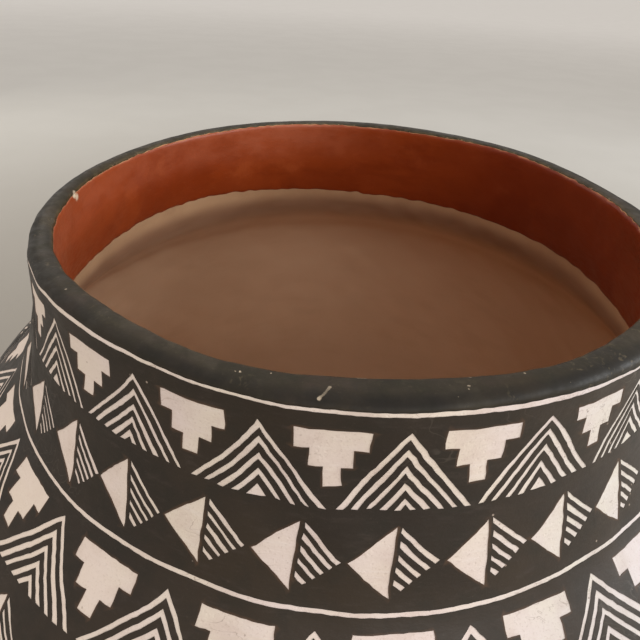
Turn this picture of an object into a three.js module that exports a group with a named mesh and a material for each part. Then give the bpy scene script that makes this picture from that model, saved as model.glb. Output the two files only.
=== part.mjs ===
// A large, wide-mouthed, hand-built pottery jar with a painted outside.
// Millimetres, +Z up, origin at the centre of the foot on the surface it stands on.
//
// The jar is a body of revolution. One smooth line, WALL, is the finished outside
// from the rounded lip to the foot. Every layer is that line moved inward along
// its own normal: dark paint outermost, then pale slip, then the fired clay.
import * as THREE from "three";

// ---- driving dimensions ------------------------------------------------------
const HEIGHT = 310;            // foot to top of lip
const SEGMENTS = 48;           // around the jar

// finished outside: radius and depth below the top of the lip, evenly spaced
const WALL = [
  [121.0, 1.6], [124.57, 20.86], [130.95, 39.37], [139.07, 57.15],
  [153.02, 70.82], [166.78, 84.7], [176.08, 101.89], [181.65, 120.65],
  [184.32, 140.05], [184.92, 159.62], [182.77, 179.08], [177.86, 198.03],
  [170.62, 216.23], [161.31, 233.46], [150.05, 249.48], [137.1, 264.17],
  [122.79, 277.55], [107.37, 289.63], [90.87, 300.18], [73.0, 308.2],
];

const PAINT = 0.3;             // thickness of the dark paint
const SLIP = 0.4;              // thickness of the slips
const GAP = 0.1;               // clearance between layers
const CLAY = 6.8;              // clay wall, measured along the normal

const FOOT_OUT = 70;           // flat ring that the jar stands on
const FOOT_IN = 55;
const FOOT_HOLLOW = 5;         // rise of the shallow hollow under the foot
const FLOOR = 12;              // height of the inside floor at the middle

// limits of the layers, as distances down the wall from its start at the lip
const LIP_LINE = [0.1, 1.4];           // thin pale line left under the lip
const NECK_BAND = [1.4, 57.0];
const SHOULDER_BAND = [58.3, 118.0];
const BELLY_BAND = [119.3, 232.0];
const LOWER_BAND = [233.3, 266.0];
const PALE_END = 268.0;                // lower edge of the pale slip
const UNDERBODY = [268.4, 364.0];      // red slip of the lower body
const RED_END = 42.0;                  // lower edge of the red slip inside the neck

// stations down the wall at which every layer has a ring of vertices
const STATIONS = [
  0, 1.4, 14, 28, 42, 50, 57, 58.3, 66, 80, 92, 104, 118, 119.3, 143, 169.5,
  200, 232, 233.3, 266, 268, 268.4, 292, 316, 342, 364,
];

// ---- the wall line -----------------------------------------------------------
const wall = new THREE.SplineCurve(
  WALL.map(([r, depth]) => new THREE.Vector2(r, HEIGHT - depth))
);
wall.arcLengthDivisions = 4000;
const LENGTH = wall.getLength();

// point on the wall line, s mm down from the lip and d mm inside the surface
function at(s, d = 0) {
  const u = Math.min(Math.max(s / LENGTH, 0), 1);
  const p = wall.getPointAt(u);
  const t = wall.getTangentAt(u);
  return new THREE.Vector2(p.x + t.y * d, p.y - t.x * d);
}

function stationsIn(from, to) {
  return [from, ...STATIONS.filter((s) => s > from + 0.05 && s < to - 0.05), to];
}

// ---- solids of revolution ----------------------------------------------------
function ring(profile, closed) {
  const pts = closed ? [...profile, profile[0].clone()] : profile;
  const g = new THREE.LatheGeometry(pts, SEGMENTS);
  g.rotateX(Math.PI / 2);      // lathe axis to +Z
  g.computeVertexNormals();
  return g;
}

const jar = new THREE.Group();
function add(name, profile, closed, color, roughness) {
  const mesh = new THREE.Mesh(
    ring(profile, closed),
    new THREE.MeshStandardMaterial({ color, roughness, metalness: 0 })
  );
  mesh.name = name;
  jar.add(mesh);
  return mesh;
}

// a coat between two depths under the finished surface, listed foot to lip on
// its outside and back down on its inside
function coat(from, to, outer, inner) {
  const s = stationsIn(from, to);
  return [
    ...s.map((v) => at(v, outer)).reverse(),
    ...s.map((v) => at(v, inner)),
  ];
}

// ---- fired clay body ---------------------------------------------------------
const UNDER = PAINT + GAP + SLIP + GAP;          // clay starts this far inside
const bodyOuter = STATIONS
  .filter((s) => s > 0 && s !== 119.3 && s !== 233.3 && s !== 268)
  .map((s) => at(s, UNDER));
const INNER = UNDER + CLAY;
const innerStations = [6, 14, 28, 42, 50, 57, 66, 80, 92, 104, 118, 143, 169.5, 200, 232, 268.4, 300, 330];
const bodyInner = innerStations.map((s) => at(s, INNER));

const clay = [
  new THREE.Vector2(0, FOOT_HOLLOW),
  new THREE.Vector2(30, FOOT_HOLLOW * 0.72),
  new THREE.Vector2(FOOT_IN, 0),
  new THREE.Vector2(FOOT_OUT, 0),
  ...bodyOuter.reverse(),
  // rounded lip, under its paint
  new THREE.Vector2(119.0, HEIGHT - 0.85),
  new THREE.Vector2(117.2, HEIGHT - 0.5),
  new THREE.Vector2(115.0, HEIGHT - 0.62),
  new THREE.Vector2(113.6, HEIGHT - 1.7),
  ...bodyInner,
  new THREE.Vector2(62, FLOOR + 2.2),
  new THREE.Vector2(0, FLOOR),
];
add("clay_body", clay, false, 0x7b5842, 0.92);

// ---- coats -------------------------------------------------------------------
add("cream_slip_coat", coat(LIP_LINE[0], PALE_END, PAINT + GAP, PAINT + GAP + SLIP), true, 0xd2bfb1, 0.75);
add("neck_paint_band", coat(...NECK_BAND, 0, PAINT), true, 0x302b25, 0.55);
add("shoulder_paint_band", coat(...SHOULDER_BAND, 0, PAINT), true, 0x302b25, 0.55);
add("belly_paint_band", coat(...BELLY_BAND, 0, PAINT), true, 0x302b25, 0.55);
add("lower_paint_band", coat(...LOWER_BAND, 0, PAINT), true, 0x302b25, 0.55);
add("underbody_slip_coat", coat(...UNDERBODY, PAINT + GAP, PAINT + GAP + SLIP), true, 0x8a4424, 0.5);

// paint over the lip: outside line, over the top, down to the inner edge
const lipOut = [
  [120.65, 0.95], [119.4, 0.3], [117.4, 0.0], [114.8, 0.1], [113.25, 1.15], [112.95, 1.6],
];
const lipIn = [
  [113.25, 1.72], [113.5, 1.4], [114.93, 0.42], [117.25, 0.3], [119.15, 0.62], [120.35, 1.2],
];
const lip = [...lipOut, ...lipIn].map(([r, depth]) => new THREE.Vector2(r, HEIGHT - depth));
add("lip_paint_band", lip, true, 0x2c2824, 0.5);

// red slip on the inside of the neck, a thin coat on the inner face of the wall
const redStations = innerStations.filter((s) => s <= RED_END + 0.05);
const INSIDE = INNER + GAP;
const red = [
  ...redStations.map((s) => at(s, INSIDE)).reverse(),
  new THREE.Vector2(113.5, HEIGHT - 2.1),
  new THREE.Vector2(113.1, HEIGHT - 2.1),
  ...redStations.map((s) => at(s, INSIDE + SLIP)),
];
add("neck_slip_band", red, true, 0x8f472a, 0.5);

export default jar;
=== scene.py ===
"""A large, wide-mouthed, hand-built pottery jar: bare brown clay inside, red slip
inside the neck, a dark painted lip, and an outside of pale slip that shows through
a dark painted ground as hatched, stepped and diamond figures."""
import math
import random
import time

import bpy
import numpy as np
from mathutils import Matrix, Vector
from mathutils.geometry import delaunay_2d_cdt
from mathutils.kdtree import KDTree


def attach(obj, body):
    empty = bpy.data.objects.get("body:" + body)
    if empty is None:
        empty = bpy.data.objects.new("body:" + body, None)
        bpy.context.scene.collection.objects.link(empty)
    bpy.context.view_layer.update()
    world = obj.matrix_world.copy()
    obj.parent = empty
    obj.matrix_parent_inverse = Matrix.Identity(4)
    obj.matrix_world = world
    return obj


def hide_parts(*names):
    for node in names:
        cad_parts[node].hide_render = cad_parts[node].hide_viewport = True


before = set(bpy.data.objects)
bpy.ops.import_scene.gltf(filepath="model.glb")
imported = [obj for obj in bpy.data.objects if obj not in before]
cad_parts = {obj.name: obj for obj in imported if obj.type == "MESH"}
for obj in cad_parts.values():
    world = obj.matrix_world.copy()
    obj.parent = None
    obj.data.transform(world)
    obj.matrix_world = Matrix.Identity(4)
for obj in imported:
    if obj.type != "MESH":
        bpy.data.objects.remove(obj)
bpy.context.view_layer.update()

T0 = time.time()
TAU = 2 * math.pi
MM = 0.001

# ---- the wall line, in mm: radius, depth under the lip's top -------------------
HEIGHT = 310.0
WALL = [
    (121.0, 1.6), (124.57, 20.86), (130.95, 39.37), (139.07, 57.15),
    (153.02, 70.82), (166.78, 84.7), (176.08, 101.89), (181.65, 120.65),
    (184.32, 140.05), (184.92, 159.62), (182.77, 179.08), (177.86, 198.03),
    (170.62, 216.23), (161.31, 233.46), (150.05, 249.48), (137.1, 264.17),
    (122.79, 277.55), (107.37, 289.63), (90.87, 300.18), (73.0, 308.2),
]
# rounded lip, from the wall line's start over its flat top to its inner edge
LIP = [
    (121.0, 1.6), (120.72, 1.08), (120.25, 0.7), (119.6, 0.4), (118.75, 0.19),
    (117.75, 0.06), (116.7, 0.0), (115.6, 0.02), (114.6, 0.16), (113.75, 0.5),
    (113.2, 1.1), (112.95, 1.9), (112.95, 2.7),
]
CLAY = 0.47                 # the clay's surface lies this far under the wall line
THICK = 7.80                # and the inner one this far
SLIP = (0.03, 0.28)         # heights of the coats over the clay
PAINT = (0.31, 0.43)
LIP_EDGE, NECK_TOP = 0.1, 1.4   # the paint's limits on both sides of the line under the lip
LINES = [LIP_EDGE, NECK_TOP, 57.0, 58.3, 118.0, 119.3, 232.0, 233.3, 266.0, 268.0]

# ---- the rim as it was made, a little out of round and out of level, in mm:
# a mean, then a cosine and a sine for each wave round the mouth ------------------
RIM_OUT = [0.1, 0.55, 0.08, -0.12, 0.03, 0.23, -0.26, -0.08, -0.06, 0.17, -0.2, -0.28, -0.25]
RIM_UP = [0.35, 0.27, 0.11, -0.36, 0.19, 0.13, -0.13, -0.01, 0.07, 0.28, -0.09, 0.21, -0.34, -0.19, -0.24]
RIM_IN = [-0.46, -0.71, 0.54, 0.43, 0.32, -0.32, -0.2, -0.05, 0.46, -0.15, 0.11,
          0.0, -0.02, -0.09, -0.08, -0.12, 0.06, -0.07, 0.13, 0.11, 0.25]
# the pale line under the lip: how far down it wanders, and how much wider it gets
LINE_DOWN = [0.15, 0.1, -0.19, -0.02, -0.16, -0.17, -0.12, -0.17, 0.13, 0.07, 0.13,
             0.04, 0.0, 0.06, 0.05, 0.11, -0.1, -0.11, -0.11]
LINE_WIDE = [-0.05, -0.05, 0.06, 0.03, 0.05, 0.02, -0.01, -0.01, 0.04, 0.08, 0.02, 0.03, -0.1,
             -0.08, -0.04, -0.04, 0.04, 0.0, 0.02, 0.0, 0.03, 0.04, 0.03, 0.04, -0.02]
PAINT_END = [1.24, -0.34, -0.31, 0.2, 0.08, -0.22, -0.29, 0.17, -0.08, -0.01, -0.07, -0.07, -0.05, -0.26, 0.01]
RED_END = [41.99, 2.2, -0.67, -1.35, 0.08, -0.41, -0.76, 0.47, -0.31, -0.46, -0.04]
THICK_AT = math.radians(190)


def turn(coef, th):
    out = coef[0] + 0 * np.asarray(th, float)
    for k in range(1, (len(coef) + 1) // 2):
        out = out + coef[2 * k - 1] * np.cos(k * th) + coef[2 * k] * np.sin(k * th)
    return out


RIM_TOP = float(turn(RIM_UP, np.linspace(0, TAU, 2000)).max()) + 0.14


class Line:
    """A smooth line through evenly spaced points, by distance along it."""

    def __init__(self, ctrl):
        c = np.array([(r, HEIGHT - d) for r, d in ctrl], float)
        m, n = len(c), 6001
        t = np.linspace(0, 1, n)
        p = (m - 1) * t
        i = np.minimum(p.astype(int), m - 1)
        w = (p - i)[:, None]
        p0, p1 = c[np.maximum(i - 1, 0)], c[i]
        p2, p3 = c[np.minimum(i + 1, m - 1)], c[np.minimum(i + 2, m - 1)]
        v0, v1 = (p2 - p0) / 2, (p3 - p1) / 2
        self.set(((2 * p1 - 2 * p2 + v0 + v1) * w**3
                  + (-3 * p1 + 3 * p2 - 2 * v0 - v1) * w**2 + v0 * w + p1), 30)

    def set(self, q, ease):
        self.s = np.r_[0, np.cumsum(np.hypot(*np.diff(q, axis=0).T))]
        self.q = q
        tan = np.gradient(q, self.s, axis=0)
        k = np.ones(2 * ease + 1) / (2 * ease + 1)      # evens out the turn between points
        pad = np.vstack([np.repeat(tan[:1], ease, 0), tan, np.repeat(tan[-1:], ease, 0)])
        tan = np.stack([np.convolve(pad[:, j], k, "valid") for j in (0, 1)], 1)
        self.t = tan / np.linalg.norm(tan, axis=1)[:, None]
        self.length = float(self.s[-1])

    def at(self, s, d=0.0):
        """radius and height, s along the line and d to its right"""
        s = np.asarray(s, float)
        r, z = np.interp(s, self.s, self.q[:, 0]), np.interp(s, self.s, self.q[:, 1])
        tr, tz = np.interp(s, self.s, self.t[:, 0]), np.interp(s, self.s, self.t[:, 1])
        return r + tz * d, z - tr * d


class Dense(Line):
    """A line through many points, evened out over a short window."""

    def __init__(self, pts, window):
        pts = np.array(pts, float)
        s = np.r_[0, np.cumsum(np.hypot(*np.diff(pts, axis=0).T))]
        n = int(s[-1] / 0.05)
        t = np.linspace(0, s[-1], n)
        q = np.stack([np.interp(t, s, pts[:, j]) for j in (0, 1)], 1)
        m = int(window / 0.05) // 2
        k = np.ones(2 * m + 1) / (2 * m + 1)
        for _ in range(2):
            a, b = 2 * q[0] - q[m:0:-1], 2 * q[-1] - q[-2:-m - 2:-1]
            pad = np.vstack([a, q, b])
            q = np.stack([np.convolve(pad[:, j], k, "valid") for j in (0, 1)], 1)
        self.set(q, 4)


wall = Line(WALL)
lip = Line(LIP)

# the clay's surface from the foot of the lip over it and down the inside; its first
# 4 mm are the outer wall, so that the two join without a corner
_s = np.arange(4.0, 0.0, -0.25)
_lr, _lz = lip.at(np.linspace(0, lip.length, 60), -CLAY)
_in = np.arange(6.0, 327.5, 0.5)
_ir, _iz = wall.at(_in, THICK)
over = Dense(list(zip(*wall.at(_s, CLAY))) + list(zip(_lr, _lz)) + list(zip(_ir, _iz)), 0.9)
OVER0 = float(over.s[np.argmin(np.hypot(over.q[:, 0] - _lr[0], over.q[:, 1] - _lz[0]))])
INSIDE_LENGTH = over.length - OVER0


def inside(s):
    """distance over the lip and down the inside, of the point level with s outside"""
    r, z = wall.at(s, THICK)
    z = np.atleast_1d(z)
    low = over.s > OVER0 + 12
    return -(np.interp(-z, -over.q[low, 1], over.s[low]) - OVER0)


def skin(q, h=0.0):
    """radius and height, q down the outer wall (or, below 0, over the lip and down the
    inside), and h out from the clay's surface"""
    q, h = np.broadcast_arrays(np.asarray(q, float), np.asarray(h, float))
    ro, zo = wall.at(np.maximum(q, 0), CLAY - h)
    ri, zi = over.at(OVER0 - np.minimum(q, 0), h)
    return np.where(q >= 0, ro, ri), np.where(q >= 0, zo, zi)


def radius(s):
    return float(wall.at(s)[0])


# ---- hand-made unevenness ------------------------------------------------------
def waves(seed, count, around, up, rms):
    """A smooth field of angle and height, the same after a full turn."""
    g = np.random.default_rng(seed)
    n = g.integers(around[0], around[1] + 1, count)
    m = TAU / g.uniform(up[0], up[1], count) * g.choice([-1.0, 1.0], count)
    ph = g.uniform(0, TAU, count)
    a = g.uniform(0.5, 1.0, count)
    a *= rms * math.sqrt(2) / math.sqrt(float((a**2).sum()))

    def field(th, y):
        th, y = np.broadcast_arrays(np.asarray(th, float), np.asarray(y, float))
        out = np.zeros(th.shape)
        for nk, mk, pk, ak in zip(n, m, ph, a):
            out += ak * np.cos(nk * th + mk * y + pk)
        return out

    return field


LUMPS = waves(11, 14, (3, 11), (90, 260), 0.26)       # coil-built undulation
DENTS = waves(12, 26, (12, 46), (18, 70), 0.08)       # thumb and scraper marks
INNER = waves(13, 24, (9, 44), (16, 60), 0.17)        # a rougher inside
NICKS = waves(14, 30, (14, 84), (900, 1000), 0.024)   # small faults of the lip
WANDER = {v: waves(500 + i, 8, (2, 15), (900, 1000), 0.22) for i, v in enumerate(LINES)}
for _a, _b in ((LIP_EDGE, NECK_TOP), (57.0, 58.3), (118.0, 119.3), (232.0, 233.3), (266.0, 268.0)):
    WANDER[_b] = WANDER[_a]                            # a pale line's two edges keep together


def drift(v, th):
    """how far the edge drawn at v was set too low"""
    out = WANDER[v](th, 0)
    if v in (LIP_EDGE, NECK_TOP):
        out = out + turn(LINE_DOWN, th) + (0.5 if v == NECK_TOP else -0.5) * turn(LINE_WIDE, th)
    return out


def smooth(a, b, x):
    t = np.clip((np.asarray(x, float) - a) / (b - a), 0, 1)
    return t * t * (3 - 2 * t)


def shape(r, z, th, inner=0.0):
    """Moves points of the true jar to the hand-made one. In mm, returned in metres."""
    r, z, th = np.broadcast_arrays(np.asarray(r, float), np.asarray(z, float), np.asarray(th, float))
    w = smooth(0, 60, r)
    neck = smooth(HEIGHT - 85, HEIGHT - 12, z)
    quiet = 1 - smooth(HEIGHT - 60, HEIGHT - 14, z)
    rim = smooth(HEIGHT - 20, HEIGHT - 3, z)
    # 0 outside, 1 at the mouth's edge, where the inner outline has a shape of its own
    u = np.where(z > HEIGHT - 3.2, smooth(120.2, 113.8, r), inner) * rim
    thick = np.exp(-((th % TAU - THICK_AT) / 0.24) ** 2)    # the lip is fuller here
    out = (turn(RIM_OUT, th) + 0.6 * thick) * neck
    dr = out * (1 - u) + (turn(RIM_IN, th) - 0.9 * thick) * u
    dr = dr + (LUMPS(th, z) * quiet + DENTS(th, z)) * w
    dr = dr - 1.35 * smooth(168, 182, r)               # keeps the belly inside its box
    dr = dr - INNER(th, z) * w * inner * quiet
    dr = dr + NICKS(th, r * 3.0) * rim
    z2 = z * (1 - RIM_TOP / HEIGHT)
    z2 = z2 + turn(RIM_UP, th) * smooth(HEIGHT - 50, HEIGHT - 6, z)
    z2 = z2 + NICKS(th + 1.0, r * 2.0) * rim
    rr = r + dr
    return np.stack([rr * np.cos(th), rr * np.sin(th), z2], -1) * MM


# ---- mesh helpers --------------------------------------------------------------
def new_object(name, verts, faces, materials):
    me = bpy.data.meshes.new(name)
    me.from_pydata(verts.tolist() if hasattr(verts, "tolist") else verts, [], faces)
    me.update()
    me.polygons.foreach_set("use_smooth", np.ones(len(me.polygons), bool))
    ob = bpy.data.objects.new(name, me)
    bpy.context.scene.collection.objects.link(ob)
    for m in materials if isinstance(materials, (list, tuple)) else [materials]:
        me.materials.append(m)
    return ob


def unroll(ob, th, q, hidden, strips):
    """A flat map of the piece, cut into strips that stack up a square; the faces that
    nothing shows go small at the top."""
    me = ob.data
    n = len(me.loops)
    lv = np.empty(n, np.int32)
    me.loops.foreach_get("vertex_index", lv)
    f = len(me.polygons)
    start, total = np.empty(f, np.int32), np.empty(f, np.int32)
    me.polygons.foreach_get("loop_start", start)
    me.polygons.foreach_get("loop_total", total)
    face = np.repeat(np.arange(f), total)
    t = th[lv]
    middle = np.nonzero(np.isnan(t))[0]        # a fan's middle goes where its face starts
    t[middle] = t[middle + 1]
    t0 = t[start][face]
    t = t0 + (t - t0 + math.pi) % TAU - math.pi
    mean = np.add.reduceat(t, start) / total
    full = np.floor(mean / TAU) * TAU
    step = TAU / strips
    k = np.minimum(((mean - full) / step).astype(int), strips - 1)
    u = (t - full[face] - k[face] * step) / step
    v = (q[lv] - q.min()) / (q.max() - q.min())
    hid = hidden[face]
    v = (k[face] + 0.02 + 0.96 * v) / strips
    uv = np.stack([0.035 + 0.93 * u, np.where(hid, 0.915 + 0.075 * v, 0.01 + 0.89 * v)], 1)
    layer = me.uv_layers.new(name="OFBake")
    layer.uv.foreach_set("vector", uv.astype(np.float32).ravel())


def finish_piece(ob, node):
    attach(ob, "root")
    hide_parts(node)
    print(ob.name, len(ob.data.polygons), "faces", round(time.time() - T0, 1), "s")
    return ob


# ================================================================================
# materials
# ================================================================================
def lin(r, g, b):
    def f(c):
        c /= 255
        return c / 12.92 if c <= 0.04045 else ((c + 0.055) / 1.055) ** 2.4

    return (f(r), f(g), f(b), 1.0)


class Mat:
    """A small helper that builds one node material."""

    def __init__(self, name, specular=0.5):
        self.m = bpy.data.materials.new(name)
        self.m.use_nodes = True
        self.nt = self.m.node_tree
        self.bsdf = self.nt.nodes["Principled BSDF"]
        self.bsdf.inputs["Specular IOR Level"].default_value = specular
        self.coord = self.nt.nodes.new("ShaderNodeTexCoord").outputs["Object"]

    def link(self, a, b):
        self.nt.links.new(a, b)

    def put(self, socket, value):
        if isinstance(value, bpy.types.NodeSocket):
            self.link(value, socket)
        else:
            socket.default_value = value

    def node(self, kind, props=None, **inputs):
        n = self.nt.nodes.new(kind)
        for k, v in (props or {}).items():
            setattr(n, k, v)
        for k, v in inputs.items():
            self.put(n.inputs[k.replace("_", " ")], v)
        return n

    def stretch(self, x, y, z, shift=(0, 0, 0)):
        n = self.nt.nodes.new("ShaderNodeMapping")
        self.link(self.coord, n.inputs["Vector"])
        n.inputs["Scale"].default_value = (x, y, z)
        n.inputs["Location"].default_value = shift
        return n.outputs["Vector"]

    def noise(self, scale, detail=3.0, rough=0.55, vec=None, distort=0.0):
        n = self.node("ShaderNodeTexNoise", Scale=scale, Detail=detail, Roughness=rough, Distortion=distort)
        self.link(vec or self.coord, n.inputs["Vector"])
        return n.outputs["Fac"]

    def cells(self, scale, vec=None, feature="F1", rand=1.0):
        n = self.node("ShaderNodeTexVoronoi", {"feature": feature}, Scale=scale, Randomness=rand)
        self.link(vec or self.coord, n.inputs["Vector"])
        return n.outputs["Distance"]

    def remap(self, v, a, b, c=0.0, d=1.0, smooth_step=True):
        n = self.node("ShaderNodeMapRange", {"interpolation_type": "SMOOTHSTEP" if smooth_step else "LINEAR"})
        self.put(n.inputs["Value"], v)
        for k, x in zip(("From Min", "From Max", "To Min", "To Max"), (a, b, c, d)):
            n.inputs[k].default_value = x
        return n.outputs["Result"]

    def math(self, op, a, b=None, c=None, clamp=False):
        n = self.nt.nodes.new("ShaderNodeMath")
        n.operation, n.use_clamp = op, clamp
        for i, v in enumerate((a, b, c)):
            if v is not None:
                self.put(n.inputs[i], v)
        return n.outputs[0]

    def mix(self, fac, a, b, blend="MIX"):
        n = self.nt.nodes.new("ShaderNodeMix")
        n.data_type, n.blend_type = "RGBA", blend
        n.clamp_factor = True
        self.put(n.inputs[0], fac)
        self.put(n.inputs[6], a)
        self.put(n.inputs[7], b)
        return n.outputs[2]

    def xyz(self):
        n = self.nt.nodes.new("ShaderNodeSeparateXYZ")
        self.link(self.coord, n.inputs[0])
        return n.outputs

    def bump(self, height, strength, distance, under=None):
        n = self.node("ShaderNodeBump", Strength=strength, Distance=distance)
        self.link(height, n.inputs["Height"])
        if under is not None:
            self.link(under, n.inputs["Normal"])
        return n.outputs["Normal"]

    def attribute(self, name):
        n = self.nt.nodes.new("ShaderNodeAttribute")
        n.attribute_name = name
        return n.outputs["Fac"]

    def jitter(self, scale, amount):
        """the coordinates, shaken a little, for ragged outlines"""
        n = self.node("ShaderNodeTexNoise", Scale=scale, Detail=2.0)
        self.link(self.coord, n.inputs["Vector"])
        sub = self.nt.nodes.new("ShaderNodeVectorMath")
        sub.operation = "SUBTRACT"
        self.link(n.outputs["Color"], sub.inputs[0])
        sub.inputs[1].default_value = (0.5, 0.5, 0.5)
        mul = self.nt.nodes.new("ShaderNodeVectorMath")
        mul.operation = "SCALE"
        self.link(sub.outputs[0], mul.inputs[0])
        mul.inputs["Scale"].default_value = amount
        add = self.nt.nodes.new("ShaderNodeVectorMath")
        add.operation = "ADD"
        self.link(self.coord, add.inputs[0])
        self.link(mul.outputs[0], add.inputs[1])
        return add.outputs[0]

    def spots(self, places, vec):
        """1 on small ragged spots, each a place and a size in metres"""
        best = None
        for place, size, level in places:
            d = self.nt.nodes.new("ShaderNodeVectorMath")
            d.operation = "DISTANCE"
            self.link(vec, d.inputs[0])
            d.inputs[1].default_value = place
            v = self.remap(d.outputs["Value"], size * 0.55, size * 1.1, level, 0.0)
            best = v if best is None else self.math("MAXIMUM", best, v)
        return best


def on_lip(angle, r, down=0.0):
    """the place on the made lip, at an angle and a true radius, and, in the mouth, a
    depth under its top"""
    rr, zz = over.at(OVER0 + np.arange(0, 16, 0.02), 0.43)
    i = int(np.argmin(abs(rr - r) + (10 * (zz < HEIGHT - 1.5) if down == 0 else abs(zz - (HEIGHT - down)))))
    return tuple(float(v) for v in shape(rr[i], zz[i], math.radians(angle)))


# the one large chip, at the lip's inner edge
CHIP = [(on_lip(188.0, 112.95, 2.6), 0.0018), (on_lip(187.6, 112.95, 3.4), 0.0019),
        (on_lip(187.1, 112.95, 4.4), 0.0023)]


def cream_slip():
    k = Mat("cream_slip", 0.35)
    big, mid, fine = k.noise(24, 4), k.noise(110, 4, 0.6), k.noise(1500, 2)
    brush = k.noise(85, 3, 0.6, k.stretch(1, 1, 7))
    c = k.mix(k.remap(big, 0.36, 0.66), lin(231, 213, 205), lin(230, 215, 197))
    c = k.mix(k.remap(mid, 0.42, 0.72, 0, 0.55), c, lin(212, 191, 179))
    c = k.mix(k.remap(brush, 0.5, 0.75, 0, 0.30), c, lin(239, 227, 220))
    c = k.mix(k.remap(fine, 0.55, 0.74, 0, 0.35), c, lin(186, 163, 147))
    pits = k.cells(520)
    rare = k.noise(240, 1)
    spot = k.math("MULTIPLY", k.remap(pits, 0.10, 0.22, 1, 0), k.remap(rare, 0.60, 0.68))
    c = k.mix(k.math("MULTIPLY", spot, 0.7), c, lin(128, 104, 88))
    # thin scratches, and a soft grey rub here and there
    line = k.noise(190, 2, 0.5, k.stretch(0.35, 2.2, 1.2))
    scratch = k.math("MULTIPLY", k.remap(k.math("ABSOLUTE", k.math("SUBTRACT", line, 0.5)), 0.0, 0.012, 1, 0), k.remap(k.noise(33, 2), 0.56, 0.64))
    c = k.mix(k.math("MULTIPLY", scratch, 0.5), c, lin(142, 120, 104))
    # painted light and shade: paler and yellower on the dim side of the jar, greyer and darker on the side that the key
    # lamp lights
    x, y, z = k.xyz()
    c = k.mix(k.remap(x, -0.025, -0.095, 0, 0.55), c, lin(253, 234, 215))
    c = k.mix(k.remap(x, 0.020, 0.085), c, (0.86, 0.92, 0.97, 1), "MULTIPLY")
    k.link(c, k.bsdf.inputs["Base Color"])
    k.link(k.remap(mid, 0.3, 0.7, 0.62, 0.80, False), k.bsdf.inputs["Roughness"])
    n = k.bump(brush, 0.25, 0.0005)
    n = k.bump(k.noise(420, 3, 0.6), 0.2, 0.00025, n)
    n = k.bump(fine, 0.2, 0.0002, n)
    n = k.bump(k.remap(pits, 0.05, 0.25), 0.25, 0.0002, n)
    k.link(n, k.bsdf.inputs["Normal"])
    return k.m


def dark_paint():
    k = Mat("dark_paint", 0.42)
    big, mid, fine = k.noise(17, 4), k.noise(90, 4, 0.62), k.noise(1300, 3)
    brush = k.noise(120, 4, 0.65, k.stretch(1, 1, 4))
    c = k.mix(k.remap(big, 0.36, 0.64), lin(37, 27, 17), lin(49, 37, 23))
    c = k.mix(k.remap(mid, 0.42, 0.70, 0, 0.6), c, lin(36, 30, 19))
    c = k.mix(k.remap(brush, 0.52, 0.78, 0, 0.5), c, lin(66, 55, 47))
    c = k.mix(k.remap(fine, 0.60, 0.80, 0, 0.3), c, lin(78, 66, 57))
    # the paint thins to brown where it meets a pale figure
    edge = k.attribute("edge")
    thin = k.math("MULTIPLY", edge, k.remap(k.noise(150, 2), 0.36, 0.60, 0.3, 1.0))
    c = k.mix(k.math("MULTIPLY", thin, 0.75), c, lin(92, 66, 46))
    # tiny flecks where paint has come off, and long fine rub marks
    flecks = k.cells(210)
    hit = k.math("MULTIPLY", k.remap(flecks, 0.05, 0.085, 1, 0), k.remap(k.noise(34, 2), 0.60, 0.66))
    c = k.mix(k.math("MULTIPLY", hit, 0.8), c, lin(168, 150, 134))
    line = k.noise(120, 2, 0.5, k.stretch(0.5, 1.6, 1.0, (0.3, 0.1, 0)), 0.6)
    rub = k.math("MULTIPLY", k.remap(k.math("ABSOLUTE", k.math("SUBTRACT", line, 0.5)), 0.0, 0.014, 1, 0), k.remap(k.noise(21, 2), 0.52, 0.62))
    c = k.mix(k.math("MULTIPLY", rub, 0.30), c, lin(92, 82, 72))
    k.link(c, k.bsdf.inputs["Base Color"])
    r = k.math("ADD", k.remap(mid, 0.3, 0.7, 0.44, 0.60, False), k.remap(brush, 0.4, 0.7, -0.04, 0.06, False))
    r = k.math("ADD", r, k.math("MULTIPLY", rub, -0.10))
    k.link(r, k.bsdf.inputs["Roughness"])
    n = k.bump(brush, 0.22, 0.0005)
    n = k.bump(k.noise(430, 3, 0.6), 0.20, 0.0003, n)
    n = k.bump(fine, 0.14, 0.00018, n)
    k.link(n, k.bsdf.inputs["Normal"])
    return k.m


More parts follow.
